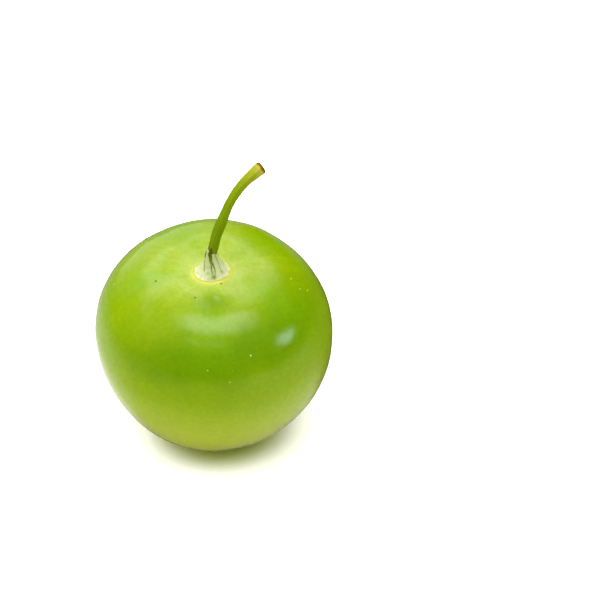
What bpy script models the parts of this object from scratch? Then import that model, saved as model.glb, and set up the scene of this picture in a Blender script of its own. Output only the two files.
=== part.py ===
# A tomatillo out of its husk: the round fruit, the torn pale collar that the husk leaves on it, and the stem.
# Metres, +Z up. The fruit rests on a small flat spot at the origin, its front is at -Y, and +X is on the right.

import math

import bmesh
import bpy
from mathutils import Matrix, Vector

MM = 0.001

# The fruit is a polar surface about its middle. The polar angle is measured from the stem end, in radians.
FRUIT_RADIUS = 23.5 * MM
FRUIT_WAVES = (0.01, -0.07, -0.045, -0.02)  # shares that follow the cosine of 1, 2, 3 and 4 polar angles
FRUIT_SEGMENTS = 72
FRUIT_RINGS = 54
RING_PULL = 0.65  # draws the rings towards the stem end, where the shape is finest
CAVITY_DEPTH = 1.6 * MM
CAVITY_ANGLE = 0.44
FRUIT_LEAN_FRONT = math.radians(4.0)
FRUIT_LEAN_RIGHT = math.radians(1.0)
FOOT_CUT = 0.6 * MM  # what the flat spot takes off the lowest point

# Broad swells and hollows: azimuth and elevation of the middle in degrees, height
SWELLS = (
    (180, -25, -0.8 * MM),
    (0, -25, 0.8 * MM),
    (90, 40, 1.0 * MM),
)
SWELL_ANGLE = math.radians(40)

# Shallow furrows that run down from the stem end: azimuth and half width in degrees, depth
FURROWS = (
    (-90, 12, 0.45 * MM),
    (-28, 16, 0.25 * MM),
    (42, 15, 0.35 * MM),
    (118, 17, 0.30 * MM),
    (188, 14, 0.35 * MM),
)
FURROW_MIDDLE = 0.62
FURROW_REACH = 0.38

# The raised ring of skin round the collar
LIP_RADIUS = 3.95 * MM
LIP_HEIGHT = 0.25 * MM
LIP_WIDTH = 0.3 * MM

# The collar flares like a trumpet from its neck to a thin brim, and follows the fruit under it
GAP = 0.3 * MM
COLLAR_RADIUS = 3.7 * MM
COLLAR_BRIM = 0.4 * MM
BRIM_ROUNDING = 0.25  # share of the brim's thickness that its rounded edges take
CONE_HEIGHT = 4.0 * MM
NECK_HEIGHT = 2.9 * MM
NECK_POWER = 8  # how suddenly the cone turns up into the neck
NECK_RADIUS = 1.0 * MM
COLLAR_SEGMENTS = 60
COLLAR_STEPS = 16
UNDERSIDE_STEPS = 5

# Collar and ring are oval, widest from the front left to the back right
OVAL_SHARE = 0.82
OVAL_TURN = math.radians(19)

# The husk's ten veins leave ribs on the collar, and its tearing leaves the brim uneven: wave counts and phase
RIBS = 10
RIB_SHARE = 0.05
TEAR_WAVES = ((5, 0.0), (3, 1.0))
TEAR_SHARE = 0.025
TEAR_FADE = 4  # how steeply the unevenness grows towards the brim

# The stem's middle line from the foot of the collar, and its radius there
STEM_POINTS = (
    (0.1 * MM, -0.3 * MM, 4.0 * MM, 0.96 * MM),
    (0.4 * MM, -0.2 * MM, 7.0 * MM, 0.98 * MM),
    (1.2 * MM, 0.1 * MM, 10.0 * MM, 1.05 * MM),
    (2.3 * MM, 0.3 * MM, 13.2 * MM, 1.06 * MM),
    (3.6 * MM, 0.8 * MM, 16.5 * MM, 0.97 * MM),
    (5.2 * MM, 1.6 * MM, 19.3 * MM, 0.89 * MM),
    (7.0 * MM, 2.6 * MM, 21.3 * MM, 0.91 * MM),
    (8.9 * MM, 3.7 * MM, 22.7 * MM, 1.06 * MM),
    (10.2 * MM, 4.5 * MM, 23.4 * MM, 1.30 * MM),
    (10.6 * MM, 4.7 * MM, 23.6 * MM, 1.20 * MM),
)
STEM_SIDES = 20
STEM_RIDGES = 5
STEM_RIDGE_SHARE = 0.06
STEM_STEPS = 5  # lengths between two points of the middle line

# The slanted tear where the stem meets the collar's neck
TEAR_HEIGHT = 6.3 * MM
TEAR_SLOPE = math.radians(34)
TEAR_SIDE = math.radians(-50)  # the azimuth of its lowest point

SHARP_ANGLE = math.radians(45)  # edges that turn more than this are shown as edges

UP = Vector((0, 0, 1))


def bell(distance, width):
    return math.exp(-((distance / width) ** 2))


def turn_between(a, b):
    return abs((a - b + math.pi) % (2 * math.pi) - math.pi)


def direction_of(azimuth, elevation):
    level = math.cos(elevation)
    return Vector((level * math.cos(azimuth), level * math.sin(azimuth), math.sin(elevation)))


def oval(azimuth):
    return 1 - (1 - OVAL_SHARE) * math.sin(azimuth - OVAL_TURN) ** 2


def fruit_point(polar, azimuth):
    outward = direction_of(azimuth, math.pi / 2 - polar)
    wave = sum(share * math.cos(count * polar) for count, share in enumerate(FRUIT_WAVES, 1))
    radius = FRUIT_RADIUS * (1 + wave) - CAVITY_DEPTH * bell(polar, CAVITY_ANGLE)
    for side, rise, height in SWELLS:
        middle = direction_of(math.radians(side), math.radians(rise))
        radius += height * bell(outward.angle(middle), SWELL_ANGLE)
    for side, width, depth in FURROWS:
        across = bell(turn_between(azimuth, math.radians(side)), math.radians(width))
        radius -= depth * across * bell(polar - FURROW_MIDDLE, FURROW_REACH)
    radius += LIP_HEIGHT * bell(radius * math.sin(polar) - LIP_RADIUS * oval(azimuth), LIP_WIDTH)
    return outward * radius


def stem_seat():
    return fruit_point(0, 0)


def lean():
    return Matrix.Rotation(FRUIT_LEAN_FRONT, 4, "X") @ Matrix.Rotation(FRUIT_LEAN_RIGHT, 4, "Y")


def tear_normal():
    return direction_of(TEAR_SIDE, math.pi / 2 - TEAR_SLOPE)


def cut_flat(bm, point, normal):
    # Removes what lies on the normal's side of the plane and closes the cut
    everything = bm.verts[:] + bm.edges[:] + bm.faces[:]
    cut = bmesh.ops.bisect_plane(
        bm, geom=everything, dist=1e-7, plane_co=point, plane_no=normal, clear_outer=True
    )
    rim = [part for part in cut["geom_cut"] if isinstance(part, bmesh.types.BMEdge)]
    bmesh.ops.contextual_create(bm, geom=rim)


def fruit_mesh():
    bm = bmesh.new()
    bmesh.ops.create_uvsphere(bm, u_segments=FRUIT_SEGMENTS, v_segments=FRUIT_RINGS, radius=1)
    for vert in bm.verts:
        polar = vert.co.angle(UP)
        azimuth = math.atan2(vert.co.y, vert.co.x)
        vert.co = fruit_point(polar - RING_PULL * polar * bell(polar, 1), azimuth)
    down = lean().inverted().to_3x3() @ -UP
    lowest = max(vert.co.dot(down) for vert in bm.verts)
    cut_flat(bm, down * (lowest - FOOT_CUT), down)
    return finished_mesh(bm, "fruit")


def collar_profile():
    # Radius and height over the fruit's skin, from the middle of the underside out, over the brim and up
    under = [(COLLAR_RADIUS * step / UNDERSIDE_STEPS, 0) for step in range(UNDERSIDE_STEPS)]
    rim = [(COLLAR_RADIUS, COLLAR_BRIM * share) for share in (BRIM_ROUNDING, 1 - BRIM_ROUNDING)]
    flank = []
    for step in range(1, COLLAR_STEPS + 1):
        share = step / COLLAR_STEPS
        radius = COLLAR_RADIUS + (NECK_RADIUS - COLLAR_RADIUS) * share
        flank.append((radius, COLLAR_BRIM + CONE_HEIGHT * share + NECK_HEIGHT * share**NECK_POWER))
    return under + rim + flank + [(0, flank[-1][1])]


def calyx_base_mesh():
    bm = bmesh.new()
    verts = [bm.verts.new((radius, 0, height)) for radius, height in collar_profile()]
    edges = [bm.edges.new(pair) for pair in zip(verts, verts[1:])]
    bmesh.ops.spin(
        bm,
        geom=verts + edges,
        axis=UP,
        cent=(0, 0, 0),
        angle=2 * math.pi,
        steps=COLLAR_SEGMENTS,
        use_merge=True,
    )
    bmesh.ops.remove_doubles(bm, verts=bm.verts[:], dist=1e-6)
    seat = stem_seat().length
    for vert in bm.verts:
        azimuth = math.atan2(vert.co.y, vert.co.x)
        outer = math.hypot(vert.co.x, vert.co.y) / COLLAR_RADIUS
        rib = RIB_SHARE * math.cos(RIBS * azimuth) * math.sin(math.pi * min(1, outer)) ** 2
        wave = sum(math.sin(count * azimuth + phase) for count, phase in TEAR_WAVES)
        spread = (1 + rib + TEAR_SHARE * wave * outer**TEAR_FADE) * (1 - (1 - oval(azimuth)) * outer)
        skin = fruit_point(outer * spread * COLLAR_RADIUS / seat, azimuth).z
        vert.co = (vert.co.x * spread, vert.co.y * spread, vert.co.z + skin + GAP)
    cut_flat(bm, UP * (seat + TEAR_HEIGHT), tear_normal())
    return finished_mesh(bm, "calyx_base")


def stem_outline():
    # The ridged cross-section, on a radius of 1 that each point of the middle line then scales
    curve = bpy.data.curves.new("stem_outline", "CURVE")
    spline = curve.splines.new("POLY")
    spline.points.add(STEM_SIDES - 1)
    for index, point in enumerate(spline.points):
        turn = 2 * math.pi * index / STEM_SIDES
        radius = 1 + STEM_RIDGE_SHARE * math.cos(STEM_RIDGES * turn)
        point.co = (radius * math.cos(turn), radius * math.sin(turn), 0, 1)
    spline.use_cyclic_u = True
    outline = bpy.data.objects.new("stem_outline", curve)
    outline.hide_render = True
    outline.display_type = "WIRE"
    return outline


def stem_mesh(outline):
    curve = bpy.data.curves.new("stem_line", "CURVE")
    curve.dimensions = "3D"
    curve.resolution_u = STEM_STEPS
    curve.bevel_mode = "OBJECT"
    curve.bevel_object = outline
    curve.use_fill_caps = True
    spline = curve.splines.new("BEZIER")
    spline.bezier_points.add(len(STEM_POINTS) - 1)
    for point, (x, y, z, radius) in zip(spline.bezier_points, STEM_POINTS):
        point.co = (x, y, z)
        point.radius = radius
        point.handle_left_type = "AUTO"
        point.handle_right_type = "AUTO"
    line = bpy.data.objects.new("stem_line", curve)
    bpy.context.scene.collection.objects.link(line)
    bpy.context.view_layer.update()
    tube = bpy.data.meshes.new_from_object(line.evaluated_get(bpy.context.evaluated_depsgraph_get()))
    bpy.data.objects.remove(line)
    bm = bmesh.new()
    bm.from_mesh(tube)
    bmesh.ops.remove_doubles(bm, verts=bm.verts[:], dist=1e-6)
    leaning = lean().to_3x3()
    cut_flat(bm, leaning @ (UP * TEAR_HEIGHT + tear_normal() * GAP), leaning @ -tear_normal())
    bpy.data.meshes.remove(tube)
    return finished_mesh(bm, "stem")


def finished_mesh(bm, name):
    bmesh.ops.recalc_face_normals(bm, faces=bm.faces[:])
    mesh = bpy.data.meshes.new(name)
    bm.to_mesh(mesh)
    bm.free()
    mesh.shade_smooth()
    mesh.set_sharp_from_angle(angle=SHARP_ANGLE)
    return mesh


def material(name, colour, roughness):
    made = bpy.data.materials.new(name)
    made.use_nodes = True
    shader = made.node_tree.nodes["Principled BSDF"]
    shader.inputs["Base Color"].default_value = (*colour, 1)
    shader.inputs["Roughness"].default_value = roughness
    shader.inputs["Metallic"].default_value = 0
    return made


def add_part(name, mesh, finish, collection, root):
    mesh.materials.append(finish)
    part = bpy.data.objects.new(name, mesh)
    collection.objects.link(part)
    part.parent = root
    return part


def world_corners(parts):
    bpy.context.view_layer.update()
    points = [part.matrix_world @ vert.co for part in parts for vert in part.data.vertices]
    lowest = Vector([min(point[axis] for point in points) for axis in range(3)])
    highest = Vector([max(point[axis] for point in points) for axis in range(3)])
    return lowest, highest


def build():
    for old in list(bpy.data.objects):
        bpy.data.objects.remove(old)
    collection = bpy.data.collections.new("Tomatillo")
    helpers = bpy.data.collections.new("Helpers")
    bpy.context.scene.collection.children.link(collection)
    bpy.context.scene.collection.children.link(helpers)
    root = bpy.data.objects.new("tomatillo", None)
    collection.objects.link(root)

    skin = material("waxy_green_skin", (0.25, 0.47, 0.02), 0.3)
    fruit = add_part("fruit", fruit_mesh(), skin, collection, root)
    fruit.rotation_euler = lean().to_euler()

    tissue = material("torn_calyx_tissue", (0.72, 0.76, 0.48), 0.6)
    calyx_base = add_part("calyx_base", calyx_base_mesh(), tissue, collection, root)
    calyx_base.rotation_euler = lean().to_euler()

    outline = stem_outline()
    helpers.objects.link(outline)
    bark = material("green_stem_skin", (0.24, 0.29, 0.02), 0.5)
    stem = add_part("stem", stem_mesh(outline), bark, collection, root)
    stem.location = lean() @ stem_seat()

    lowest, highest = world_corners([fruit, calyx_base, stem])
    middle = (lowest + highest) / 2
    root.location = (-middle.x, -middle.y, -lowest.z)
    bpy.context.view_layer.update()


build()
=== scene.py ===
import math
import random

import bmesh
import bpy
from mathutils import Matrix, Vector, noise


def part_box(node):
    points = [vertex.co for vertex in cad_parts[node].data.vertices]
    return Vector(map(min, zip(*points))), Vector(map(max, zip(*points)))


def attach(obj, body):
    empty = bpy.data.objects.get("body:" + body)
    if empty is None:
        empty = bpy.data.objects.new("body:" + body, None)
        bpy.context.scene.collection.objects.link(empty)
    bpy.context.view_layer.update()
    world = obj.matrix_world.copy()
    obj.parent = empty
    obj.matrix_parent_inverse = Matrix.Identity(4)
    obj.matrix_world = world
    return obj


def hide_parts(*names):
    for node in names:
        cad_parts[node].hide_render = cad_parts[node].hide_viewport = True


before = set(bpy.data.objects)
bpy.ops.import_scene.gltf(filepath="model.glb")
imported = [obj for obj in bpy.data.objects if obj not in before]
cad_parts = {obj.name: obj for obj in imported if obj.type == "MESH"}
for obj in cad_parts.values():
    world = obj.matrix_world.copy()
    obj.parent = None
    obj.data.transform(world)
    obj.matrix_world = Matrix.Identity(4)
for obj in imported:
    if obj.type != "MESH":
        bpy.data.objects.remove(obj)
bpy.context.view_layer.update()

# A tomatillo out of its husk: waxy green skin, the torn pale collar that the husk leaves on it, and the stem.
# Each piece is shaped in millimetres about the middle of the fruit, then put in place in metres.
mm = 0.001
body = "root"
up = Vector((0, 0, 1))


def bell(distance, width):
    return math.exp(-((distance / width) ** 2))


def smooth(value, low, high):
    share = min(1, max(0, (value - low) / (high - low)))
    return share * share * (3 - 2 * share)


def turnBetween(a, b):
    return abs((a - b + math.pi) % (2 * math.pi) - math.pi)


def directionOf(azimuth, elevation):
    level = math.cos(elevation)
    return Vector((level * math.cos(azimuth), level * math.sin(azimuth), math.sin(elevation)))


def linear(hexColour):
    # sRGB hex to the linear values that the shaders want
    parts = [int(hexColour[start:start + 2], 16) / 255 for start in (1, 3, 5)]
    return (*[((part + 0.055) / 1.055) ** 2.4 if part > 0.04045 else part / 12.92 for part in parts], 1)


def addNode(tree, kind, inputs=(), out=0, stops=(), **settings):
    # one node, with its inputs by name or in order, as values or links, and its ramp's stops; gives an output
    node = tree.nodes.new(kind)
    for name, value in settings.items():
        setattr(node, name, value)
    for name, value in inputs.items() if isinstance(inputs, dict) else enumerate(inputs):
        if isinstance(value, bpy.types.NodeSocket):
            tree.links.new(value, node.inputs[name])
        else:
            node.inputs[name].default_value = value
    if stops:
        ramp = node.color_ramp
        while len(ramp.elements) < len(stops):
            ramp.elements.new(1)
        for element, (position, colour) in zip(ramp.elements, stops):
            element.position = position
            element.color = linear(colour)
    return node.outputs[out] if node.outputs else None


# settings that many nodes share
smoothly = {"interpolation_type": "SMOOTHSTEP"}
times = {"operation": "MULTIPLY"}
dotProduct = {"out": "Value", "operation": "DOT_PRODUCT"}
inColour = {"out": 2, "data_type": "RGBA"}


def newMaterial(name):
    material = bpy.data.materials.new(name)
    material.use_nodes = True
    material.node_tree.nodes.clear()
    return material, material.node_tree


def finishPiece(bm, name, material, node=None):
    # from millimetres about the fruit's middle to its place in metres, so that the object stays at the origin
    bmesh.ops.transform(bm, matrix=Matrix.Translation(middle) @ Matrix.Scale(mm, 4), verts=bm.verts)
    bmesh.ops.recalc_face_normals(bm, faces=bm.faces[:])
    mesh = bpy.data.meshes.new(name)
    bm.to_mesh(mesh)
    bm.free()
    mesh.shade_smooth()
    mesh.materials.append(material)
    piece = bpy.data.objects.new(name, mesh)
    bpy.context.scene.collection.objects.link(piece)
    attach(piece, body)
    if node:
        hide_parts(node)
    print("made", name, len(mesh.polygons), "faces")


def spinProfile(bm, profile, segments):
    # turns a profile of distances and heights round the upright axis
    verts = [bm.verts.new((distance, 0, height)) for distance, height in profile]
    edges = [bm.edges.new(pair) for pair in zip(verts, verts[1:])]
    turn = {"axis": up, "cent": (0, 0, 0), "angle": 2 * math.pi, "steps": segments, "use_merge": True}
    bmesh.ops.spin(bm, geom=verts + edges, **turn)
    bmesh.ops.remove_doubles(bm, verts=bm.verts[:], dist=1e-4)


# the fruit: a polar surface about its middle, with the polar angle measured from the stem end
fruit = {
    "radius": 23.5,
    "waves": (0.01, -0.07, -0.045, -0.02),  # shares that follow the cosine of 1, 2, 3 and 4 polar angles
    "cavityDepth": 1.6,
    "cavityAngle": 0.44,
    "leanFront": 4,  # degrees
    "leanRight": 1,
    "footCut": 0.6,  # what the flat spot takes off the lowest point
    "footSoftness": 0.04,
    "swells": ((180, -25, -0.8), (0, -25, 0.8), (90, 40, 1.0)),  # azimuth, elevation, height
    "swellAngle": 40,
    "furrows": ((-90, 12, 0.45), (-28, 16, 0.25), (42, 15, 0.35), (118, 17, 0.30), (188, 14, 0.35)),
    "furrowMiddle": 0.62,
    "furrowReach": 0.38,
    "lipRadius": 3.9,  # the raised ring round the collar
    "lipHeight": 0.32,
    "lipWidth": 0.33,
    "ovalShare": 0.82,  # ring and collar are oval, widest from the front left to the back right
    "ovalTurn": 19,
    "frontSines": (-0.2, 0.3),  # where the two faint edges on the front begin and are full
    "shoulderAngle": 0.62,  # one where the shoulder rolls over
    "shoulderWidth": 0.09,
    "shoulderHeight": 0.09,
    "edgeAngle": 0.36,  # one round the flat top
    "edgeWidth": 0.12,
    "edgeHeight": 0.12,
    "notchSide": -86,  # where shade is painted deep green, in the hollow in front of the stem
    "notchAngle": 0.45,
    "notchWidth": 0.42,
    "notchReach": 0.13,
    "segments": 320,
    "rings": 250,
    "ringPull": 0.65,  # draws the rings towards the stem end, where the shape is finest
    "unevenness": ((0.10, 6.0), (0.015, 2.2)),  # slow and small rise and fall of the skin: height, size
    "evenSeat": (0.2, 0.5),  # the collar's seat stays even, up to these polar angles
    "scarRadius": 1.5,  # the dimple at the blossom end, under the fruit
    "scarDepth": 0.35,
}
lean = Matrix.Rotation(math.radians(fruit["leanFront"]), 4, "X") @ Matrix.Rotation(
    math.radians(fruit["leanRight"]), 4, "Y"
)


def furrowShare(polar, azimuth, side, width):
    across = bell(turnBetween(azimuth, math.radians(side)), math.radians(width))
    return across * bell(polar - fruit["furrowMiddle"], fruit["furrowReach"])


def oval(azimuth):
    return 1 - (1 - fruit["ovalShare"]) * math.sin(azimuth - math.radians(fruit["ovalTurn"])) ** 2


def fruitPoint(polar, azimuth):
    outward = directionOf(azimuth, math.pi / 2 - polar)
    wave = sum(share * math.cos(count * polar) for count, share in enumerate(fruit["waves"], 1))
    radius = fruit["radius"] * (1 + wave) - fruit["cavityDepth"] * bell(polar, fruit["cavityAngle"])
    for side, rise, height in fruit["swells"]:
        middleOfSwell = directionOf(math.radians(side), math.radians(rise))
        radius += height * bell(outward.angle(middleOfSwell), math.radians(fruit["swellAngle"]))
    for side, width, depth in fruit["furrows"]:
        radius -= depth * furrowShare(polar, azimuth, side, width)
    lipPlace = fruit["lipRadius"] * oval(azimuth)
    radius += fruit["lipHeight"] * bell(radius * math.sin(polar) - lipPlace, fruit["lipWidth"])
    return outward * radius


seat = fruitPoint(0, 0).length  # the height of the skin under the stem


def skinPoint(polar, azimuth):
    # the same surface with the unevenness of a grown skin, leaning as the fruit does
    point = fruitPoint(polar, azimuth)
    front = smooth(-math.sin(azimuth), *fruit["frontSines"])
    shoulder = fruit["shoulderHeight"] * bell(polar - fruit["shoulderAngle"], fruit["shoulderWidth"])
    edge = fruit["edgeHeight"] * bell(polar - fruit["edgeAngle"], fruit["edgeWidth"])
    point += point.normalized() * front * (shoulder + edge)
    calm = smooth(polar, *fruit["evenSeat"])
    waves = sum(height * noise.noise(point / size) for height, size in fruit["unevenness"])
    return lean @ (point + point.normalized() * calm * waves)


def makeFruitMesh():
    bm = bmesh.new()
    furrow = bm.verts.layers.float.new("furrow")
    notch = bm.verts.layers.float.new("notch")
    bmesh.ops.create_uvsphere(bm, u_segments=fruit["segments"], v_segments=fruit["rings"], radius=1)
    for vert in bm.verts:
        polar = vert.co.angle(up)
        azimuth = math.atan2(vert.co.y, vert.co.x)
        polar -= fruit["ringPull"] * polar * bell(polar, 1)
        shares = [furrowShare(polar, azimuth, side, width) for side, width, depth in fruit["furrows"]]
        vert[furrow] = sum(shares)
        side = turnBetween(azimuth, math.radians(fruit["notchSide"]))
        vert[notch] = bell(side, fruit["notchWidth"]) * bell(polar - fruit["notchAngle"], fruit["notchReach"])
        vert.co = skinPoint(polar, azimuth)
    foot = min(vert.co.z for vert in bm.verts) + fruit["footCut"]
    scarMiddle = skinPoint(math.pi, 0)
    for vert in bm.verts:
        above = (vert.co.z - foot) / fruit["footSoftness"]
        if above < 30:  # further up the softening is nil
            vert.co.z = foot + fruit["footSoftness"] * math.log1p(math.exp(above))
        if vert.co.z < 0:
            across = math.hypot(vert.co.x - scarMiddle.x, vert.co.y - scarMiddle.y)
            vert.co.z += fruit["scarDepth"] * bell(across, fruit["scarRadius"])
    return bm, foot


def middleOfFruit(bm):
    # the place that puts the new skin's box on the box of the solid that it stands for
    low = [min(vert.co[axis] for vert in bm.verts) for axis in range(3)]
    high = [max(vert.co[axis] for vert in bm.verts) for axis in range(3)]
    nodeLow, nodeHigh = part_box("fruit")
    level = [(nodeLow[axis] + nodeHigh[axis]) / 2 - mm * (low[axis] + high[axis]) / 2 for axis in range(2)]
    return Vector((*level, nodeLow[2] - mm * low[2]))


# the skin: lengths in millimetres about the fruit's middle, colours from the blossom end up; a reach is from
# where to where a share changes, and from what to what if it isn't from 0 to 1
skin = {
    "cloudSize": 9,
    "drift": 5,  # how far the clouds shift the colours up or down
    "groundHeights": (-10, 22),
    # paler underneath, partly as painted light thrown up from the bright floor
    "ground": ((0.0, "#959c14"), (0.25, "#8e9d0d"), (0.5, "#7e9505"), (0.75, "#738e00"), (1.0, "#768d02")),
    "shadeBeltHeights": (-2, 26),
    "shadeBelt": (
        (0.2, "#000000"),
        (0.45, "#909090"),
        (0.58, "#f4f4f4"),
        (0.7, "#ffffff"),
        (0.8, "#b0b0b0"),
        (0.95, "#000000"),
    ),
    "shadeBeltColour": "#587900",
    "shadeBeltUp": (-0.12, 0, 1),  # it is higher on the right
    "shadeSide": directionOf(-1.25, 0),  # where the painted shade lies, towards the front
    "shadeSideReach": (-0.1, 0.9),
    "glowReach": (4, 16, 1, 0),
    "glowColour": "#90a140",
    "topReach": (8, 15),
    "streaks": (7.0, 0.05),  # how fine they are round the stem and along it
    "streakReach": (4, 18, 0, 0.30),
    "streakShades": ((0.3, "#a8b8a0"), (0.5, "#bcbcbc"), (0.7, "#d0d0a8")),
    "furrow": (0.35, "#5f8c00"),  # a share and a colour of painted shade in the furrows; the next is the painted shade in the hollow in front of the stem
    "notch": (0.8, "#5c7c00"),
    "mottleShare": 0.5,
    "mottleShades": ((0.3, "#a8aca2"), (0.7, "#cecebe")),
    "poreSpacing": 2.2,
    "poreReach": (0.03, 0.08, 0.22, 0),
    "poreColour": "#b4c070",
    "lipRadius": fruit["lipRadius"] - 0.05,
    "lipReach": (0.35, 0.8, 0.85, 0),
    "lipColour": "#b6b43c",
    "lipFront": directionOf(-1.5, 0),  # the side where the lip is plainest
    "lipFrontReach": (-0.4, 0.4, 0.3, 1),
    "haloReach": (0.4, 2.0, 0.5, 0),
    "haloColour": "#a4b04c",
    "roughness": (0.12, 0.18),
}


def fruitSpace(tree):
    # millimetres about the fruit's middle, upright along its axis
    place = addNode(tree, "ShaderNodeTexCoord", out="Object")
    inputs = {"Vector": place, "Location": middle, "Rotation": lean.to_euler(), "Scale": (mm, mm, mm)}
    return addNode(tree, "ShaderNodeMapping", inputs, vector_type="TEXTURE")


def fromAxis(tree, place):
    # the distance from the upright axis, the direction away from it, and the height
    level = addNode(tree, "ShaderNodeVectorMath", (place, (1, 1, 0)), **times)
    distance = addNode(tree, "ShaderNodeVectorMath", (level,), "Value", operation="LENGTH")
    spoke = addNode(tree, "ShaderNodeVectorMath", (level,), operation="NORMALIZE")
    return distance, spoke, addNode(tree, "ShaderNodeSeparateXYZ", (place,), "Z")


def strandSpace(tree, spoke, space, around, along):
    # a space that changes fast round the stem and slowly along it, for what runs out from the stem
    spread = addNode(tree, "ShaderNodeVectorMath", {0: spoke, "Scale": around}, operation="SCALE")
    drawn = addNode(tree, "ShaderNodeVectorMath", {0: space, "Scale": along}, operation="SCALE")
    return addNode(tree, "ShaderNodeVectorMath", (spread, drawn), operation="ADD")


def skinMaterial():
    # Fresh tomatillo skin: a thin clear wax over green flesh, so soft wide highlights over an even colour.
    # It is lime and streaked round the stem; painted shade makes it deeper green on the front shoulder and in
    # the furrows, and it is paler underneath, partly as painted light from the floor.
    material, tree = newMaterial("waxed_tomatillo_skin")
    space = fruitSpace(tree)
    distance, spoke, height = fromAxis(tree, space)
    inputs = {"Vector": space, "Scale": 1 / skin["cloudSize"], "Detail": 2}
    clouds = addNode(tree, "ShaderNodeTexNoise", inputs)
    drift = addNode(tree, "ShaderNodeMath", (clouds, skin["drift"]), **times)
    shifted = addNode(tree, "ShaderNodeMath", (height, drift), operation="ADD")
    # the ground colour by height: paler underneath, partly as painted light thrown up from the bright floor
    level = addNode(tree, "ShaderNodeMapRange", (shifted, *skin["groundHeights"]))
    colour = addNode(tree, "ShaderNodeValToRGB", (level,), stops=skin["ground"])
    layers = []  # each with its share, its colour and how it is laid over the one before

    # painted shade: a belt of deeper green round the front shoulder, where the skin faces the dark side of
    # the room
    shadeFacing = addNode(tree, "ShaderNodeVectorMath", (spoke, skin["shadeSide"]), **dotProduct)
    shadeSideShare = addNode(tree, "ShaderNodeMapRange", (shadeFacing, *skin["shadeSideReach"]), **smoothly)
    tilted = addNode(tree, "ShaderNodeVectorMath", (space, skin["shadeBeltUp"]), **dotProduct)
    raised = addNode(tree, "ShaderNodeMath", (tilted, drift), operation="ADD")
    shadeBeltPlace = addNode(tree, "ShaderNodeMapRange", (raised, *skin["shadeBeltHeights"]))
    shadeBelt = addNode(tree, "ShaderNodeValToRGB", (shadeBeltPlace,), stops=skin["shadeBelt"])
    paintedShade = addNode(tree, "ShaderNodeMath", (shadeBelt, shadeSideShare), **times)
    layers.append((paintedShade, linear(skin["shadeBeltColour"]), "MIX"))

    # the glow of pale flesh round the stem, where the skin is thinnest
    near = addNode(tree, "ShaderNodeMapRange", (distance, *skin["glowReach"]), **smoothly)
    top = addNode(tree, "ShaderNodeMapRange", (height, *skin["topReach"]))
    glow = addNode(tree, "ShaderNodeMath", (near, top), **times)
    layers.append((glow, linear(skin["glowColour"]), "MIX"))

    # faint streaks that run out from the stem, about 2 mm apart on the shoulder
    strand = strandSpace(tree, spoke, space, *skin["streaks"])
    inputs = {"Vector": strand, "Scale": 1.0, "Detail": 4, "Roughness": 0.6}
    streaks = addNode(tree, "ShaderNodeTexNoise", inputs)
    fade = addNode(tree, "ShaderNodeMapRange", (height, *skin["streakReach"]))
    streakShade = addNode(tree, "ShaderNodeValToRGB", (streaks,), stops=skin["streakShades"])
    layers.append((fade, streakShade, "OVERLAY"))

    # painted shade: the furrows and the hollow in front of the stem are darkened to a deeper green
    for name in ("furrow", "notch"):
        depth = addNode(tree, "ShaderNodeAttribute", out="Fac", attribute_name=name)
        strength, deepColour = skin[name]
        share = addNode(tree, "ShaderNodeMath", (depth, strength), **times)
        layers.append((share, linear(deepColour), "MIX"))

    # fine mottling, and flecks of 0.3 mm where the skin breathes
    inputs = {"Vector": space, "Scale": 1.2, "Detail": 5, "Roughness": 0.7}
    mottle = addNode(tree, "ShaderNodeTexNoise", inputs)
    mottleShade = addNode(tree, "ShaderNodeValToRGB", (mottle,), stops=skin["mottleShades"])
    layers.append((skin["mottleShare"], mottleShade, "OVERLAY"))
    pores = addNode(
        tree, "ShaderNodeTexVoronoi", {"Vector": space, "Scale": 1 / skin["poreSpacing"]}, out="Distance"
    )
    poreShare = addNode(tree, "ShaderNodeMapRange", (pores, *skin["poreReach"]))
    layers.append((poreShare, linear(skin["poreColour"]), "MIX"))

    # the yellow lip that the husk leaves round the oval collar, with a pale halo
    shortWay = directionOf(math.radians(fruit["ovalTurn"] + 90), 0)
    across = addNode(tree, "ShaderNodeVectorMath", (spoke, shortWay), **dotProduct)
    squared = addNode(tree, "ShaderNodeMath", (across, across), **times)
    shorter = skin["lipRadius"] * (fruit["ovalShare"] - 1)
    inputs = (squared, shorter, skin["lipRadius"])
    lipPlace = addNode(tree, "ShaderNodeMath", inputs, operation="MULTIPLY_ADD")
    lipSide = addNode(tree, "ShaderNodeMath", (distance, lipPlace), operation="SUBTRACT")
    lipAway = addNode(tree, "ShaderNodeMath", (lipSide,), operation="ABSOLUTE")
    halo = addNode(tree, "ShaderNodeMapRange", (lipAway, *skin["haloReach"]), **smoothly)
    haloShare = addNode(tree, "ShaderNodeMath", (halo, top), **times)
    layers.append((haloShare, linear(skin["haloColour"]), "MIX"))
    lipBand = addNode(tree, "ShaderNodeMapRange", (lipAway, *skin["lipReach"]), **smoothly)
    facing = addNode(tree, "ShaderNodeVectorMath", (spoke, skin["lipFront"]), **dotProduct)
    lipFront = addNode(tree, "ShaderNodeMapRange", (facing, *skin["lipFrontReach"]), **smoothly)
    lipShare = addNode(tree, "ShaderNodeMath", (lipBand, lipFront), **times)
    lip = addNode(tree, "ShaderNodeMath", (lipShare, top), **times)
    layers.append((lip, linear(skin["lipColour"]), "MIX"))

    for share, over, blend in layers:
        inputs = {0: share, 6: colour, 7: over}
        colour = addNode(tree, "ShaderNodeMix", inputs, **inColour, blend_type=blend)

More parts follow.
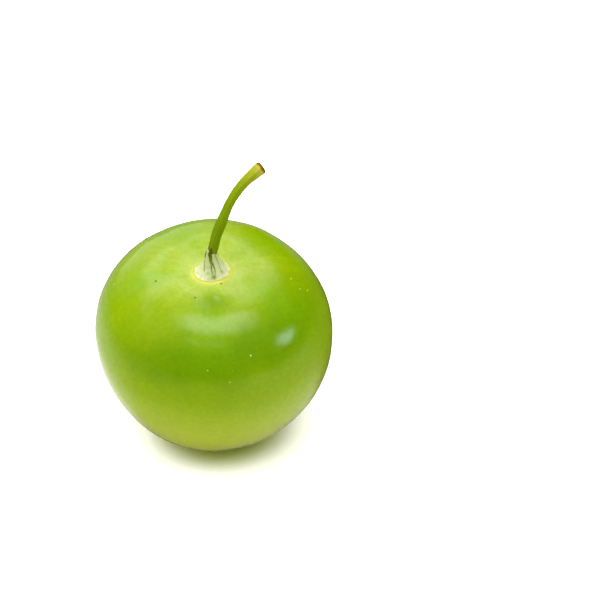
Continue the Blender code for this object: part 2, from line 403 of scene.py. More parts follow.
    # the wax is a little uneven, which softens the edges of the highlights
    waxRoughness = addNode(tree, "ShaderNodeMapRange", (mottle, 0, 1, *skin["roughness"]))
    peel = addNode(tree, "ShaderNodeTexNoise", {"Vector": space, "Scale": 1.4, "Detail": 3})  # 0.7 mm dimples
    dimples = addNode(tree, "ShaderNodeBump", {"Strength": 0.35, "Distance": 0.02 * mm, "Height": peel})
    inputs = {
        "Base Color": colour,
        "Roughness": waxRoughness,
        "IOR": 1.42,
        "Normal": dimples,
        "Subsurface Weight": 0.12,
        "Subsurface Radius": (1.0, 1.0, 0.3),
        "Subsurface Scale": 1.5 * mm,
    }
    shader = addNode(tree, "ShaderNodeBsdfPrincipled", inputs)
    addNode(tree, "ShaderNodeOutputMaterial", {"Surface": shader})
    return material


# the collar: a trumpet of pale torn tissue that flares from its neck to a thin ragged brim
collar = {
    "radius": 3.7,
    "neckRadius": 1.0,
    "brim": 0.08,
    "brimEdge": ((1.0, -1.5), (1.005, 0.0)),  # under the brim: shares of its radius and of its height
    "sink": 0.2,  # how far its foot is grown into the fruit
    "coneHeight": 4.2,
    "neckHeight": 2.9,
    "neckPower": 8,  # how suddenly the cone turns up into the neck
    "segments": 220,
    "steps": 80,
    "footSteps": 12,
    "ribs": 10,
    "ribTurn": 0.6,
    "ribShare": 0.035,
    "strands": (9, 1.5),  # how fine the strands between the ribs are, round the stem and along it
    "ragged": (0.04, 4),  # the brim's rise and fall as a share, and how fine it is
    "crumple": (0.10, 1.6),  # height in millimetres and how fine it is
    "crumpleReach": (1.5, 3.5),
    "tearHeight": 6.5,  # the stem's skin starts at a slanted tear
    "tearSlope": 34,
    "tearSide": -50,
    "tearRagged": (0.3, 3),
    "neckSide": -25,  # the stem stands a little over the neck on this side
    "neckIn": 0.16,
    "neckAngle": 0.9,
    "neckReach": (0.27, 0.5),
    "stainLength": 5,  # a stain's share of the way in millimetres
    "stains": (  # green stains: azimuth, share of the way to the neck, half width in millimetres, strength
        (-80, 0.23, 0.52, 1.6),
        (-83, 0.40, 0.34, 0.8),
        (-81, 0.50, 0.26, 0.7),
        (-35, 0.35, 0.36, 1.1),
        (-115, 0.66, 0.42, 0.6),
        (-108, 0.42, 0.40, 0.55),
        (-132, 0.52, 0.34, 0.45),
        (-168, 0.17, 0.35, 0.35),
        (-106, 0.13, 0.32, 0.35),
        (48, 0.45, 0.40, 0.7),
        (110, 0.35, 0.40, 0.8),
        (165, 0.45, 0.40, 0.6),
    ),
    "ground": ((0.0, "#ccc67c"), (0.10, "#c8ca9c"), (0.4, "#bac290"), (1.0, "#aeb872")),
    "fibres": (5.0, 0.22),
    "fibreReach": (0.52, 0.70, 0, 0.45),
    "fibreColour": "#7f9048",
    "blotchReach": (0.52, 0.70, 0, 0.5),
    "blotchColour": "#b2b888",
    "stainReach": (0.3, 0.65, 0.6, 1),
    "stainColour": "#75901a",
}


def flank(share):
    # radius and height over the skin, from the brim at 0 to the neck at 1
    radius = collar["radius"] + (collar["neckRadius"] - collar["radius"]) * share
    neck = collar["neckHeight"] * share ** collar["neckPower"]
    height = collar["brim"] + collar["coneHeight"] * share + neck
    return radius, height


def collarSkin(outer, azimuth):
    # the height of the fruit's skin under a point of the collar
    return fruitPoint(outer / seat, azimuth).z


def ringNoise(azimuth, fineness, layer):
    # even noise round a ring
    ring = Vector((math.cos(azimuth), math.sin(azimuth), 0))
    return noise.noise(ring * fineness + up * layer)


def ribbing(azimuth, outer):
    # ribs, finer strands and a ragged brim, as a share of the radius
    ribs = math.cos(collar["ribs"] * azimuth + collar["ribTurn"]) * math.sin(math.pi * min(1, outer)) ** 2
    around, along = collar["strands"]
    strands = ringNoise(azimuth, around, outer * along)
    share, fineness = collar["ragged"]
    ragged = ringNoise(azimuth, fineness, 3 * fineness) * outer ** 4
    fromNeckSide = turnBetween(azimuth, math.radians(collar["neckSide"]))
    narrow = collar["neckIn"] * bell(fromNeckSide, collar["neckAngle"])
    narrow *= 1 - smooth(outer, *collar["neckReach"])
    spread = 1 + collar["ribShare"] * (ribs + strands) + share * ragged - narrow
    return spread * (1 - (1 - oval(azimuth)) * outer)


def stainAt(azimuth, share):
    # how green the tissue is: along the veins, and in the spots where they end
    green = 0
    outer = flank(share)[0]
    for side, middleShare, width, strength in collar["stains"]:
        around = outer * turnBetween(azimuth, math.radians(side))
        lengthwise = collar["stainLength"] * (share - middleShare)
        green = max(green, strength * bell(math.hypot(around, lengthwise), width))
    return green


def tear():
    slope = math.radians(collar["tearSlope"])
    normal = directionOf(math.radians(collar["tearSide"]), math.pi / 2 - slope)
    return up * (seat + collar["tearHeight"]), normal


def cutAtTear(bm, point, normal, **side):
    # takes off one side of the slanted tear, closes the cut and gives its edges
    everything = bm.verts[:] + bm.edges[:] + bm.faces[:]
    cut = bmesh.ops.bisect_plane(bm, geom=everything, dist=1e-5, plane_co=point, plane_no=normal, **side)
    edges = [part for part in cut["geom_cut"] if isinstance(part, bmesh.types.BMEdge)]
    bmesh.ops.contextual_create(bm, geom=edges)
    return edges


def makeCollar(material):
    bm = bmesh.new()
    stain = bm.verts.layers.float.new("stain")
    radius, footSteps, steps = collar["radius"], collar["footSteps"], collar["steps"]
    foot = [(radius * step / footSteps, -collar["sink"]) for step in range(footSteps)]
    brim = [(radius * share, collar["brim"] * rise) for share, rise in collar["brimEdge"]]
    side = [flank(step / steps) for step in range(steps + 1)]
    spinProfile(bm, foot + brim + side + [(0, side[-1][1])], collar["segments"])
    crumpleHeight, crumpleScale = collar["crumple"]
    for vert in bm.verts:
        azimuth = math.atan2(vert.co.y, vert.co.x)
        outer = math.hypot(vert.co.x, vert.co.y)
        spread = ribbing(azimuth, outer / radius)
        lift = 0
        if vert.co.z > collar["brim"]:
            crumple = noise.noise(Vector((vert.co.x, vert.co.y, 5)) * crumpleScale)
            lift = crumpleHeight * crumple * smooth(outer, *collar["crumpleReach"])
            vert[stain] = stainAt(azimuth, (radius - outer) / (radius - collar["neckRadius"]))
        rise = collarSkin(outer * spread, azimuth) + lift
        vert.co = (vert.co.x * spread, vert.co.y * spread, vert.co.z + rise)
    height, fineness = collar["tearRagged"]
    rimEdges = cutAtTear(bm, *tear(), clear_outer=True)
    for vert in {vert for edge in rimEdges for vert in edge.verts}:
        vert.co.z += height * ringNoise(math.atan2(vert.co.y, vert.co.x), fineness, 8 * fineness)
    bmesh.ops.transform(bm, matrix=lean, verts=bm.verts)
    finishPiece(bm, "collar_tissue", material, "calyx_base")


def collarMaterial():
    # Calyx tissue where the husk tore off: dry and matt like paper, cream with grey-green fibres that run to
    # the stem.
    material, tree = newMaterial("torn_calyx_tissue")
    space = fruitSpace(tree)
    spoke, height = fromAxis(tree, space)[1:]
    aboveSkin = addNode(tree, "ShaderNodeMapRange", (height, seat, seat + collar["tearHeight"]))
    colour = addNode(tree, "ShaderNodeValToRGB", (aboveSkin,), stops=collar["ground"])
    strand = strandSpace(tree, spoke, space, *collar["fibres"])
    inputs = {"Vector": strand, "Scale": 1.3, "Detail": 5, "Roughness": 0.65}  # 0.6 mm apart at the brim
    fibres = addNode(tree, "ShaderNodeTexNoise", inputs)
    fibreShare = addNode(tree, "ShaderNodeMapRange", (fibres, *collar["fibreReach"]))
    inputs = {"Vector": space, "Scale": 1.6, "Detail": 4}  # 0.6 mm blotches
    blotches = addNode(tree, "ShaderNodeTexNoise", inputs)
    blotchShare = addNode(tree, "ShaderNodeMapRange", (blotches, *collar["blotchReach"]))
    stain = addNode(tree, "ShaderNodeAttribute", out="Fac", attribute_name="stain")
    patchy = addNode(tree, "ShaderNodeMapRange", (blotches, *collar["stainReach"]))
    stainShare = addNode(tree, "ShaderNodeMath", (stain, patchy), **times)
    layers = ((fibreShare, "fibreColour"), (blotchShare, "blotchColour"), (stainShare, "stainColour"))
    for share, name in layers:
        inputs = {0: share, 6: colour, 7: linear(collar[name])}
        colour = addNode(tree, "ShaderNodeMix", inputs, **inColour)
    grain = addNode(tree, "ShaderNodeTexNoise", {"Vector": strand, "Scale": 4.0, "Detail": 3})  # 0.2 mm
    relief = addNode(tree, "ShaderNodeBump", {"Strength": 0.6, "Distance": 0.08 * mm, "Height": grain})
    inputs = {
        "Base Color": colour,
        "Roughness": 0.65,
        "IOR": 1.4,
        "Normal": relief,
        "Subsurface Weight": 0.15,
        "Subsurface Radius": (1.0, 1.0, 0.6),
        "Subsurface Scale": 0.6 * mm,
    }
    shader = addNode(tree, "ShaderNodeBsdfPrincipled", inputs)
    addNode(tree, "ShaderNodeOutputMaterial", {"Surface": shader})
    return material


def curveThrough(points, steps):
    # a smooth line through the points, whose values may be places and radii together
    points = [Vector(point) for point in points]
    ends = [points[0] * 2 - points[1], *points, points[-1] * 2 - points[-2]]
    line = []
    for before, start, end, after in zip(ends, ends[1:], ends[2:], ends[3:]):
        for step in range(steps):
            share = step / steps
            bend = (end - before) * share + (before * 2 - start * 5 + end * 4 - after) * share ** 2
            bend += (start * 3 - before - end * 3 + after) * share ** 3
            line.append(start + bend / 2)
    return [*line, points[-1]]


def sweep(bm, stations, sides, radiusAt):
    # pulls a ring along the stations; each vertex remembers its turn round the tube and its share of the way
    turn = bm.verts.layers.float.get("turn") or bm.verts.layers.float.new("turn")
    along = bm.verts.layers.float.get("along") or bm.verts.layers.float.new("along")
    ring = bmesh.ops.create_circle(bm, segments=sides, radius=1)["verts"]
    for vert in ring:
        vert[turn] = math.atan2(vert.co.y, vert.co.x)
    edges = list({edge for vert in ring for edge in vert.link_edges})
    first = edges
    heading = (stations[1][0] - stations[0][0]).normalized()
    across = heading.orthogonal().normalized()
    for index, (point, radius, share) in enumerate(stations):
        if index:
            made = bmesh.ops.extrude_edge_only(bm, edges=edges)["geom"]
            ring = [part for part in made if isinstance(part, bmesh.types.BMVert)]
            inRing = set(ring)
            lines = [part for part in made if isinstance(part, bmesh.types.BMEdge)]
            edges = [line for line in lines if inRing.issuperset(line.verts)]
            step = point - stations[index - 1][0]
            if index + 1 < len(stations):
                step = stations[index + 1][0] - stations[index - 1][0]
            if step.length > 1e-6:
                heading = step.normalized()
        across = (across - heading * across.dot(heading)).normalized()
        over = heading.cross(across)
        for vert in ring:
            reach = radius * radiusAt(share, vert[turn])
            vert.co = point + (across * math.cos(vert[turn]) + over * math.sin(vert[turn])) * reach
            vert[along] = share
    bmesh.ops.contextual_create(bm, geom=first)
    bmesh.ops.contextual_create(bm, geom=edges)


# the stem: middle line and radius from the foot of the collar up, with a flared and dented cut end
stem = {
    "points": (
        (0.1, -0.3, 4.6, 0.70),
        (0.2, -0.35, 5.8, 0.98),
        (0.45, -0.3, 7.0, 1.00),
        (1.2, 0.1, 10.0, 1.05),
        (2.3, 0.3, 13.2, 1.06),
        (3.6, 0.8, 16.5, 0.95),
        (5.2, 1.6, 19.3, 0.98),
        (7.0, 2.6, 21.3, 1.04),
        (8.6, 3.52, 22.5, 1.18),
        (9.6, 4.14, 23.1, 1.32),
        (10.1, 4.42, 23.35, 1.33),
    ),
    "steps": 14,
    "sides": 48,
    "ridges": (5, 0.06),  # how many, and their height as a share
    # grooves, lumps and crust: height, how fine round the stem, how fine along it
    "roughness": ((0.035, 4, 3), (0.07, 1.2, 14), (0.05, 2.6, 60)),
    "overlap": 0.15,  # how far it reaches down inside the collar's tear
    # the domed end: how far past the last point, and what is left of the radius
    "end": ((0.22, 0.97), (0.42, 0.88), (0.54, 0.76), (0.56, 0.6), (0.50, 0.42), (0.46, 0.25), (0.44, 0.08)),
    "endShare": 0.2,  # what the end adds to the share of the way, where the stalk has browned
    "colours": (
        (0.1, "#5b7200"),
        (0.4, "#617800"),
        (0.62, "#6c7e04"),
        (0.80, "#82881a"),
        (0.92, "#9a983c"),
        (0.975, "#a08a34"),
        (1.0, "#6a4a10"),
    ),
    "patches": {"Scale": 0.9, "Detail": 4, "Roughness": 0.65},
    "shift": 0.10,  # how far the patches shift the colours
    "fibreShare": 0.6,
    "fibreShades": ((0.3, "#98a080"), (0.5, "#bcbca8"), (0.72, "#d6d29c")),
}


def stemRadius(share, turn):
    ridges, ridgeHeight = stem["ridges"]
    rises = [height * ringNoise(turn, around, share * along) for height, around, along in stem["roughness"]]
    return 1 + ridgeHeight * math.cos(ridges * turn) + sum(rises)


def makeStem(material):
    bm = bmesh.new()
    line = curveThrough(stem["points"], stem["steps"])
    stations = [(point.xyz, point.w, index / (len(line) - 1)) for index, point in enumerate(line)]
    end, radius, share = stations[-1]
    heading = (end - stations[-3][0]).normalized()
    for onward, shrink in stem["end"]:
        stations.append((end + heading * onward, radius * shrink, share + (1 - shrink) * stem["endShare"]))
    sweep(bm, stations, stem["sides"], stemRadius)
    bmesh.ops.translate(bm, vec=lean @ (up * seat), verts=bm.verts)
    point, normal = tear()
    cutAtTear(bm, lean @ (point - up * stem["overlap"]), lean.to_3x3() @ normal, clear_inner=True)
    finishPiece(bm, "stem_stalk", material, "stem")


def coloursAlong(tree, space, piece):
    # colours that follow the way along a stalk or a vein, with patches that shift them a little
    along = addNode(tree, "ShaderNodeAttribute", out="Fac", attribute_name="along")
    patches = addNode(tree, "ShaderNodeTexNoise", {"Vector": space, **piece["patches"]})
    drift = addNode(tree, "ShaderNodeMapRange", (patches, 0, 1, -piece["shift"], piece["shift"]))
    shifted = addNode(tree, "ShaderNodeMath", (along, drift), operation="ADD")
    return along, addNode(tree, "ShaderNodeValToRGB", (shifted,), stops=piece["colours"])


def stemMaterial():
    # Fresh stalk skin: olive green, faintly ribbed and downy, yellow towards the cut end, which has browned.
    material, tree = newMaterial("green_stalk_skin")
    space = fruitSpace(tree)
    along, colour = coloursAlong(tree, space, stem)
    turn = addNode(tree, "ShaderNodeAttribute", out="Fac", attribute_name="turn")
    across = addNode(tree, "ShaderNodeMath", (turn,), operation="SINE")
    over = addNode(tree, "ShaderNodeMath", (turn,), operation="COSINE")
    ring = addNode(tree, "ShaderNodeCombineXYZ", (across, over, along))
    inputs = {"Vector": ring, "Scale": 5.0, "Detail": 5, "Roughness": 0.7}  # 0.2 mm apart
    fibres = addNode(tree, "ShaderNodeTexNoise", inputs)
    fibreShade = addNode(tree, "ShaderNodeValToRGB", (fibres,), stops=stem["fibreShades"])
    inputs = {0: stem["fibreShare"], 6: colour, 7: fibreShade}
    fibred = addNode(tree, "ShaderNodeMix", inputs, **inColour, blend_type="OVERLAY")
    down = addNode(tree, "ShaderNodeTexNoise", {"Vector": space, "Scale": 6.0, "Detail": 3})  # 0.15 mm down
    inputs = {
        "Base Color": fibred,
        "Roughness": 0.7,
        "IOR": 1.3,
        "Specular IOR Level": 0.1,
        "Normal": addNode(tree, "ShaderNodeBump", {"Strength": 0.5, "Distance": 0.06 * mm, "Height": down}),
    }
    shader = addNode(tree, "ShaderNodeBsdfPrincipled", inputs)
    addNode(tree, "ShaderNodeOutputMaterial", {"Surface": shader})
    return material


# the veins on the collar, each from the stem down
veins = {
    "strands": (  # places by azimuth and share of the way to the neck, a radius, and how dried it starts
        (((-98, 1.01), (-110, 0.955), (-102, 0.89), (-96, 0.82), (-93, 0.76)), 0.40, 0.0),
        (((-94, 0.82), (-91, 0.62), (-89, 0.44), (-89, 0.27)), 0.14, 0.3),
        (((-90, 0.83), (-79, 0.76), (-71, 0.56), (-74, 0.25)), 0.17, 0.3),
        (((-169, 0.97), (-176, 0.89), (-158, 0.79), (-142, 0.66), (-129, 0.45)), 0.15, 0.4),
        (((-54, 0.97), (-38, 0.87), (-34, 0.74), (-38, 0.52), (-35, 0.36)), 0.11, 0.75),
        (((10, 0.95), (16, 0.70), (12, 0.40)), 0.10, 0.6),
        (((45, 0.97), (52, 0.72), (47, 0.40)), 0.13, 0.3),
        (((84, 0.96), (76, 0.75), (80, 0.50)), 0.10, 0.6),
        (((112, 0.97), (118, 0.70), (110, 0.32)), 0.14, 0.2),
        (((150, 0.95), (146, 0.70), (155, 0.42)), 0.11, 0.5),
    ),
    "steps": 9,
    "sides": 10,
    "wander": (0.05, 3.1, 4),  # by what angle, how differently from the next vein, and how often
    "thinning": 0.6,  # what its end loses of the radius
    "start": (0.6, 0.2),  # its share of the radius at the stem, and how soon it is full
    "lumps": (0.3, 9),
    "sink": 0.35,  # how far it lies in the tissue, as a share of the radius
    "colours": ((0.0, "#4c4800"), (0.22, "#4e4e00"), (0.36, "#5c6600"), (0.6, "#6a7a12"), (1.0, "#8c9c50")),
    "patches": {"Scale": 2.5, "Detail": 3},
    "shift": 0.25,
}


def makeVeins(material):
    bm = bmesh.new()
    wander, difference, bends = veins["wander"]
    startShare, startReach = veins["start"]
    lumpHeight, lumps = veins["lumps"]
    for number, (places, radius, dried) in enumerate(veins["strands"]):
        line = curveThrough([(side, share, 0) for side, share in places], veins["steps"])
        stations = []
        for index, place in enumerate(line):
            way = index / (len(line) - 1)
            bend = noise.noise(Vector((number * difference, way * bends, 0)))
            azimuth = math.radians(place.x) + wander * bend
            outer, height = flank(place.y)
            outer *= ribbing(azimuth, outer / collar["radius"])
            point = directionOf(azimuth, 0) * outer + up * (height + collarSkin(outer, azimuth))
            thickness = radius * (1 - veins["thinning"] * way ** 2)
            thickness *= startShare + (1 - startShare) * smooth(way, 0, startReach)
            thickness *= 1 + lumpHeight * noise.noise(Vector((number, way * lumps, 7)))
            stations.append((point - up * veins["sink"] * thickness, thickness, dried + (1 - dried) * way))
        sweep(bm, stations, veins["sides"], lambda share, turn: 1)
    bmesh.ops.transform(bm, matrix=lean, verts=bm.verts)
    finishPiece(bm, "collar_veins", material)


def veinMaterial():
    # Leaf veins left on the torn tissue: moist dark green at the stem, drying to olive where they thin out.
    material, tree = newMaterial("green_calyx_vein")
    colour = coloursAlong(tree, fruitSpace(tree), veins)[1]
    inputs = {"Base Color": colour, "Roughness": 0.6, "IOR": 1.3, "Specular IOR Level": 0.2}
    shader = addNode(tree, "ShaderNodeBsdfPrincipled", inputs)
    addNode(tree, "ShaderNodeOutputMaterial", {"Surface": shader})
    return material


# small marks on the skin: polar angle and azimuth in degrees, and the radius of each
marks = {
    "dark": ((31.5, -165, 0.24), (24.5, -111, 0.20), (12.0, -61, 0.18), (50.5, 136, 0.30), (86.5, -68, 0.12)),
    "pale": (
        (56.0, -67, 0.16), (60.5, -91, 0.14), (66.5, -80, 0.13), (66.5, 16, 0.16), (51.0, -4, 0.14),
        (47.0, -7, 0.13), (64.5, 14, 0.12), (53.5, 178, 0.13), (121.5, -65, 0.20),
    ),
    "seed": 11,
    "morePale": 14,  # strewn over sides and back
    "moreDark": 5,
    "strewnCosines": (-0.8, 0.75),  # of the polar angle
    "strewnRadii": (0.10, 0.2),
    "clear": ((0, 25), (200, 350)),  # azimuths in view where none is strewn
    "rise": 0.35,  # height as a share of the radius
    "unevenness": 0.5,
    "difference": 40,  # how differently each is shaped from the next
}


def makeMarks(name, spots, material):
    bm = bmesh.new()
    for polar, azimuth, radius in spots:
        polar = math.radians(polar)
        azimuth = math.radians(azimuth)
        outward = lean @ directionOf(azimuth, math.pi / 2 - polar)
        dome = bmesh.ops.create_icosphere(bm, subdivisions=2, radius=radius)["verts"]
        for vert in dome:
            vert.co *= 1 + marks["unevenness"] * noise.noise(vert.co / radius + outward * marks["difference"])
        bmesh.ops.scale(bm, vec=(1, 1, marks["rise"]), verts=dome)
        turned = outward.to_track_quat("Z", "Y").to_matrix()
        bmesh.ops.rotate(bm, cent=(0, 0, 0), matrix=turned, verts=dome)
        bmesh.ops.translate(bm, vec=skinPoint(polar, azimuth), verts=dome)
    finishPiece(bm, name, material)


def markMaterial(name, colours):
    # Dried specks and pale breathing pores of the skin: matt, each a little different from the next.
    material, tree = newMaterial(name)
    space = fruitSpace(tree)
    patches = addNode(tree, "ShaderNodeTexNoise", {"Vector": space, "Scale": 3.0, "Detail": 2})
    colour = addNode(tree, "ShaderNodeValToRGB", (patches,), stops=[(0.35, colours[0]), (0.65, colours[1])])
    shader = addNode(tree, "ShaderNodeBsdfPrincipled", {"Base Color": colour, "Roughness": 0.6, "IOR": 1.4})
    addNode(tree, "ShaderNodeOutputMaterial", {"Surface": shader})
    return material


# the scar at the blossom end: a corky ring in a shallow dimple, just clear of what the fruit rests on
scar = {
    "profile": (  # distance from its middle, and how far down
        (0, 0.10),
        (0.15, 0.14),
        (0.3, 0.06),
        (0.6, 0.05),
        (0.85, 0.15),
        (1.05, 0.16),
        (1.2, 0.08),
        (1.3, -0.1),
    ),
    "deepest": 0.16,
    "clear": 0.1,
    "segments": 64,
    "spread": (0.15, 2.2),  # how uneven its edge is, as a share, and how fine
    "crust": (0.05, 4),  # and its face, in millimetres
}


def makeScar(material):
    bm = bmesh.new()
    spinProfile(bm, [(distance, -down) for distance, down in scar["profile"]], scar["segments"])
    spread, spreadFineness = scar["spread"]
    crust, crustFineness = scar["crust"]
    for vert in bm.verts:
        wider = 1 + spread * noise.noise(vert.co * spreadFineness)
        vert.co.x *= wider
        vert.co.y *= wider
        vert.co.z += crust * noise.noise(vert.co * crustFineness)
    place = skinPoint(math.pi, 0)
    place.z = foot + scar["clear"] + scar["deepest"]
    bmesh.ops.translate(bm, vec=place, verts=bm.verts)
    finishPiece(bm, "blossom_scar", material)


print("shaping the fruit")
skinMesh, foot = makeFruitMesh()
middle = middleOfFruit(skinMesh)
finishPiece(skinMesh, "fruit_skin", skinMaterial(), "fruit")

print("shaping the collar, its veins and the stem")
makeCollar(collarMaterial())
makeVeins(veinMaterial())
makeStem(stemMaterial())

print("adding the marks of growth")
random.seed(marks["seed"])
strewn = []
for count in range(marks["morePale"] + marks["moreDark"]):
    polar = math.degrees(math.acos(random.uniform(*marks["strewnCosines"])))
    spot = (polar, random.uniform(0, 360), random.uniform(*marks["strewnRadii"]))
    if not any(low <= spot[1] <= high for low, high in marks["clear"]):
        strewn.append(spot)
pale = [*marks["pale"], *strewn[marks["moreDark"]:]]
dark = [*marks["dark"], *strewn[:marks["moreDark"]]]
makeMarks("pale_specks", pale, markMaterial("pale_pores", ("#98ab3c", "#d2daa0")))
makeMarks("dark_specks", dark, markMaterial("dried_specks", ("#3a4208", "#566410")))
makeScar(markMaterial("corky_scar", ("#8a7440", "#b09c62")))

# the stage: a pale floor, and soft lights placed by azimuth and elevation round the fruit; lengths in metres
stage = {
    "floorSize": 6.0,
    "floorDrop": 0.02,  # millimetres below what the fruit rests on
    "floorColour": "#f6f6f0",
    "floorGlare": 1.32,  # how far the paper is overexposed
    "mirroredFloor": 0.12,  # the floor in the wax, as through a polarising filter
    "floorLights": (  # painted brighter sides of its glow in the wax: azimuth, cosines of edge and middle, nearest, furthest, extra
        (165, 0.64, 1.0, 0.05, 0.2, 0.75),
        (-12, 0.2, 1.0, 0.3, 0.6, 0.32),
        (-80, -1.5, -0.5, 0.032, 0.065, 0.35),
        (112, 0.2, 0.8, 0.3, 0.6, 0.2),
    ),
    "floorShade": (35, 0.75, 0.97, 1, 0.1),  # and a painted dark side: azimuth, cosines, brightness at each
    "footShade": (0.008, 0.03, 0.2, 1),  # the fruit's own shadow in it: distances, brightness at each
    "glowPlace": (0.001, -0.001),  # where a painted shadow, green as the light that the fruit lets through, tints the paper
    "glowReach": (0.00835, 0.0167, 1, 0),  # from where to where, and its share at each
    "glowColour": "#b8c45a",
    "room": 0.1,  # the even light of the room
    "walls": ((90, 70, 0.2), (180, 50, 2.6), (-30, 55, 1.7)),  # its brighter sides: azimuth, elevation, extra
    "wallEdge": 4,  # how sharply a brighter side falls off
    "softboxes": (  # azimuth and elevation, distance, width, height, brightness
        ("softbox_above", -80, 84, 0.70, 0.90, 0.90, 2.2),
        ("softbox_behind", 92, 50, 0.80, 1.00, 0.25, 1.8),
    ),
    "overhead": 70,  # above this elevation a patch lies flat to the zenith
    "patchEdge": (0.35, 1.55),  # where a patch starts to fade and ends, in half widths
    "patchFront": 0.4,  # the cosine beyond which it has no second image
    "mirrored": (  # what the wax mirrors: azimuth and elevation, half width, half height, brightness, colour
        (10, 86, 15.5, 20, 4.2, "#ffffff"),
        (109, 45, 47, 8.5, 1.8, "#ffffff"),
        (78, 57, 14, 5, 1.3, "#ffffff"),
        (112, 13, 23, 28, 1.15, "#ffffff"),
        (-7, 22, 10, 7.5, 6.5, "#dff6ff"),
        (95, 50, 11, 8, -1.8, "#ffffff"),  # a dark card
    ),
    "viewHeight": 38,  # degrees above level
    "viewDistance": 0.6,
    "viewWidth": 0.1265,  # what the frame takes in at the fruit
    "viewRight": 18.49,  # from the fruit's middle to the middle of the frame, in millimetres
    "viewUp": 8.70,
}


def paperMaterial():
    # Matt photographic paper, lit past white, with a painted green shadow round the fruit's foot. The wax
    # mirrors a plainer glow in its place, with painted light and shade.
    material, tree = newMaterial("pale_paper_sweep")
    cameraRay = addNode(tree, "ShaderNodeLightPath", out="Is Camera Ray")
    glossyRay = addNode(tree, "ShaderNodeLightPath", out="Is Glossy Ray")
    place = addNode(tree, "ShaderNodeTexCoord", out="Object")
    paper = linear(stage["floorColour"])
    # painted shadow: the paper round the fruit's foot is tinted a deeper green
    inputs = (place, (*stage["glowPlace"], 0))
    glowAway = addNode(tree, "ShaderNodeVectorMath", inputs, "Value", operation="DISTANCE")
    glow = addNode(tree, "ShaderNodeMapRange", (glowAway, *stage["glowReach"]), **smoothly)
    inputs = {0: glow, 6: paper, 7: linear(stage["glowColour"])}
    shadowTintedPaper = addNode(tree, "ShaderNodeMix", inputs, **inColour)
    inputs = {0: shadowTintedPaper, "Scale": stage["floorGlare"]}
    glare = addNode(tree, "ShaderNodeVectorMath", inputs, operation="SCALE")
    seen = addNode(tree, "ShaderNodeMix", {0: cameraRay, 6: paper, 7: glare}, **inColour)
    matt = addNode(tree, "ShaderNodeBsdfDiffuse", {"Color": seen})

    # what the wax mirrors of the floor is a glow, not lit by the lamps, with painted brighter sides, a
    # painted dark side and a painted shadow of the fruit
    away, spoke = fromAxis(tree, place)[:2]
    mirrored = stage["mirroredFloor"]
    for side, low, high, nearest, furthest, extra in stage["floorLights"]:
        inputs = (spoke, directionOf(math.radians(side), 0))
        facing = addNode(tree, "ShaderNodeVectorMath", inputs, **dotProduct)
        turned = addNode(tree, "ShaderNodeMapRange", (facing, low, high, 0, extra), **smoothly)
        near = addNode(tree, "ShaderNodeMapRange", (away, nearest, furthest, 1, 0), **smoothly)
        mirrored = addNode(tree, "ShaderNodeMath", (turned, near, mirrored), operation="MULTIPLY_ADD")
    side, *reach = stage["floorShade"]
    inputs = (spoke, directionOf(math.radians(side), 0))
    facing = addNode(tree, "ShaderNodeVectorMath", inputs, **dotProduct)
    for inputs in ((facing, *reach), (away, *stage["footShade"])):
        share = addNode(tree, "ShaderNodeMapRange", inputs, **smoothly)
        mirrored = addNode(tree, "ShaderNodeMath", (mirrored, share), **times)
    mirror = addNode(tree, "ShaderNodeEmission", {"Color": paper, "Strength": mirrored})
    shader = addNode(tree, "ShaderNodeMixShader", (glossyRay, matt, mirror))
    addNode(tree, "ShaderNodeOutputMaterial", {"Surface": shader})
    material.cycles.emission_sampling = "NONE"  # it lights nothing
    return material


def makeFloor(material):
    bm = bmesh.new()
    bmesh.ops.create_grid(bm, x_segments=1, y_segments=1, size=stage["floorSize"] / 2)
    bmesh.ops.translate(bm, vec=(0, 0, -stage["floorDrop"] * mm), verts=bm.verts)
    mesh = bpy.data.meshes.new("floor")
    bm.to_mesh(mesh)
    bm.free()
    mesh.materials.append(material)
    floor = bpy.data.objects.new("floor", mesh)
    bpy.context.scene.collection.objects.link(floor)


def addSoftbox(name, azimuth, elevation, distance, width, height, brightness):
    outward = directionOf(math.radians(azimuth), math.radians(elevation))
    data = bpy.data.lights.new(name, "AREA")
    data.shape = "RECTANGLE"
    data.size = width
    data.size_y = height
    data.energy = brightness * math.pi * width * height
    lamp = bpy.data.objects.new(name, data)
    lamp.location = middle + outward * distance
    lamp.rotation_euler = outward.to_track_quat("Z", "Y").to_euler()
    lamp.visible_camera = False
    lamp.visible_glossy = False
    bpy.context.scene.collection.objects.link(lamp)


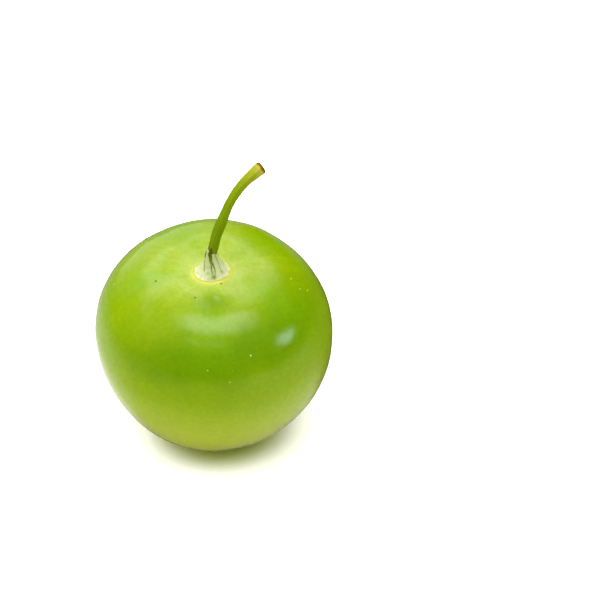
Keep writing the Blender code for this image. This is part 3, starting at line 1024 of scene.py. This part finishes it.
def mirroredPatch(tree, direction, azimuth, elevation, halfWidth, halfHeight, brightness, colour):
    # a soft oval of light in the room
    azimuth = math.radians(azimuth)
    elevation = math.radians(elevation)
    sideways = directionOf(azimuth + math.pi / 2, 0)
    upright, rise, level = up, math.sin(elevation), math.cos(elevation)
    if elevation > math.radians(stage["overhead"]):
        upright, rise, level = directionOf(azimuth, elevation + math.pi / 2), 0, 1
    across = addNode(tree, "ShaderNodeVectorMath", (direction, sideways), **dotProduct)
    over = addNode(tree, "ShaderNodeVectorMath", (direction, upright), **dotProduct)
    above = addNode(tree, "ShaderNodeMath", (over, rise), operation="SUBTRACT")
    width, height = [1 / (level * math.sin(math.radians(half))) for half in (halfWidth, halfHeight)]
    x = addNode(tree, "ShaderNodeMath", (across, width), **times)
    y = addNode(tree, "ShaderNodeMath", (above, height), **times)
    spot = addNode(tree, "ShaderNodeCombineXYZ", (x, y))
    away = addNode(tree, "ShaderNodeVectorMath", (spot,), "Value", operation="LENGTH")
    strength = addNode(tree, "ShaderNodeMapRange", (away, *stage["patchEdge"], brightness, 0), **smoothly)
    inputs = (direction, directionOf(azimuth, elevation))
    facing = addNode(tree, "ShaderNodeVectorMath", inputs, **dotProduct)
    front = addNode(tree, "ShaderNodeMath", (facing, stage["patchFront"]), operation="GREATER_THAN")
    shown = addNode(tree, "ShaderNodeMath", (strength, front), **times)
    return addNode(tree, "ShaderNodeVectorMath", {0: linear(colour)[:3], "Scale": shown}, operation="SCALE")


def makeWorld():
    # white behind the object, an even light for matt surfaces, and soft bright patches for the wax to mirror
    world = bpy.data.worlds.new("studio")
    world.use_nodes = True
    world.cycles.sampling_method = "NONE"  # a smooth room needs no aimed rays
    tree = world.node_tree
    tree.nodes.clear()
    cameraRay = addNode(tree, "ShaderNodeLightPath", out="Is Camera Ray")
    diffuseRay = addNode(tree, "ShaderNodeLightPath", out="Is Diffuse Ray")
    direction = addNode(tree, "ShaderNodeTexCoord", out="Generated")
    dome = stage["room"]
    for azimuth, elevation, extra in stage["walls"]:
        inputs = (direction, directionOf(math.radians(azimuth), math.radians(elevation)))
        towards = addNode(tree, "ShaderNodeVectorMath", inputs, **dotProduct)
        facing = addNode(tree, "ShaderNodeMath", (towards, 0), operation="MAXIMUM")
        spread = addNode(tree, "ShaderNodeMath", (facing, stage["wallEdge"]), operation="POWER")
        dome = addNode(tree, "ShaderNodeMath", (spread, extra, dome), operation="MULTIPLY_ADD")
    mirrored = (0, 0, 0)
    for settings in stage["mirrored"]:
        patch = mirroredPatch(tree, direction, *settings)
        mirrored = addNode(tree, "ShaderNodeVectorMath", (mirrored, patch), operation="ADD")
    mirrored = addNode(tree, "ShaderNodeVectorMath", (mirrored, (0, 0, 0)), operation="MAXIMUM")
    lit = addNode(tree, "ShaderNodeMix", {0: diffuseRay, 6: mirrored, 7: dome}, **inColour)
    seen = addNode(tree, "ShaderNodeMix", {0: cameraRay, 6: lit, 7: (1, 1, 1, 1)}, **inColour)
    background = addNode(tree, "ShaderNodeBackground", {"Color": seen})
    addNode(tree, "ShaderNodeOutputWorld", {"Surface": background})
    bpy.context.scene.world = world


def makeCamera():
    height = math.radians(stage["viewHeight"])
    towards = Vector((0, math.cos(height), -math.sin(height)))
    over = Vector((0, math.sin(height), math.cos(height)))
    target = middle + mm * (Vector((stage["viewRight"], 0, 0)) + over * stage["viewUp"])
    data = bpy.data.cameras.new("camera")
    data.lens = data.sensor_width * stage["viewDistance"] / stage["viewWidth"]
    data.clip_start = 0.01
    camera = bpy.data.objects.new("camera", data)
    camera.location = target - towards * stage["viewDistance"]
    camera.rotation_euler = towards.to_track_quat("-Z", "Y").to_euler()
    bpy.context.scene.collection.objects.link(camera)
    bpy.context.scene.camera = camera


print("setting the stage")
makeFloor(paperMaterial())
for settings in stage["softboxes"]:
    addSoftbox(*settings)
makeWorld()
makeCamera()
bpy.context.scene.view_settings.view_transform = "Standard"

bpy.context.view_layer.update()
